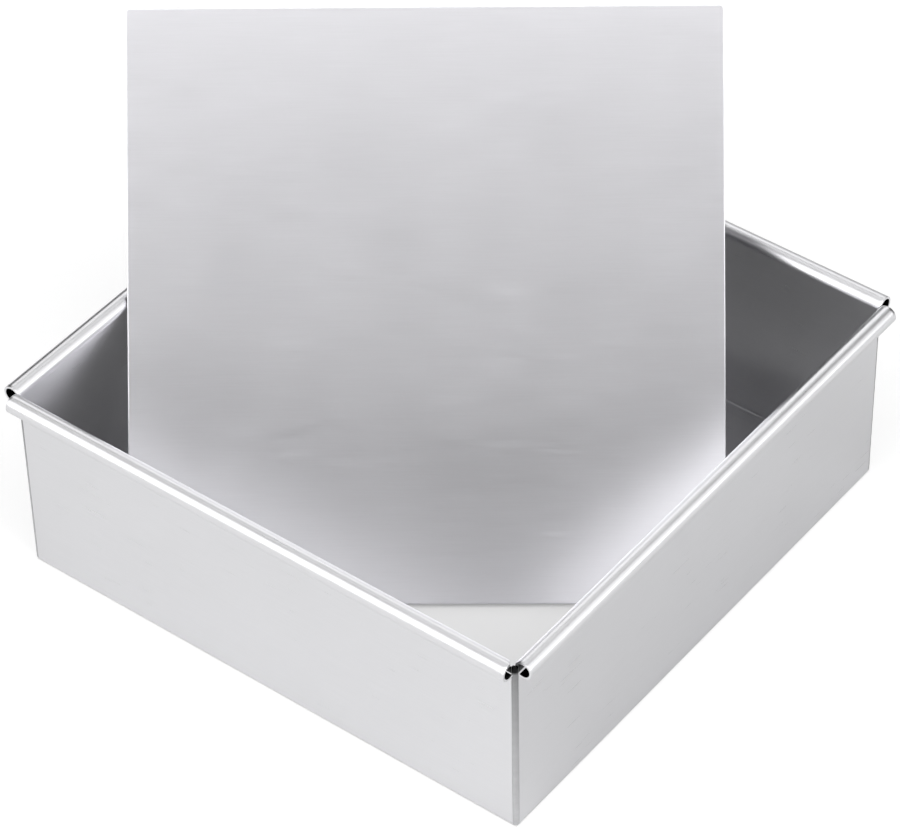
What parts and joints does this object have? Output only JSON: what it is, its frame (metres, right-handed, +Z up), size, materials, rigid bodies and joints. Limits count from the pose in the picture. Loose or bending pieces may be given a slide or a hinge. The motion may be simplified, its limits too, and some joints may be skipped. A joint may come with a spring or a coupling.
{
  "type": "square brownie pan",
  "caption": "Square straight-sided aluminium baking pan with rolled rims and an inward ledge round an open bottom, with its loose bottom plate leaning inside it.",
  "frame": {"origin": "on the table, under the middle of the box that holds the pan and its leaning plate", "axes": "+Z up, +X to the pan's right side, -Y to its front; the pan's walls are parallel to X and Y"},
  "size_m": [0.2475, 0.2325, 0.1493],
  "materials": {
    "wall_sheet": "satin anodised sheet",
    "corner_weld": "ground and satin",
    "bottom_plate": "fine brushed"
  },
  "bodies": {
    "pan": {"front_wall": "wall_sheet", "right_wall": "wall_sheet", "back_wall": "wall_sheet", "left_wall": "wall_sheet", "front_right_corner_weld": "corner_weld", "back_right_corner_weld": "corner_weld", "back_left_corner_weld": "corner_weld", "front_left_corner_weld": "corner_weld"},
    "loose_bottom": {"loose_bottom_plate": "bottom_plate"}
  },
  "joints": [
    {"name": "plate_lift", "type": "slide", "parent": "pan", "child": "loose_bottom", "axis": [-0.4019, 0.5372, 0.7416], "range_m": [0, 0.11]}
  ]
}
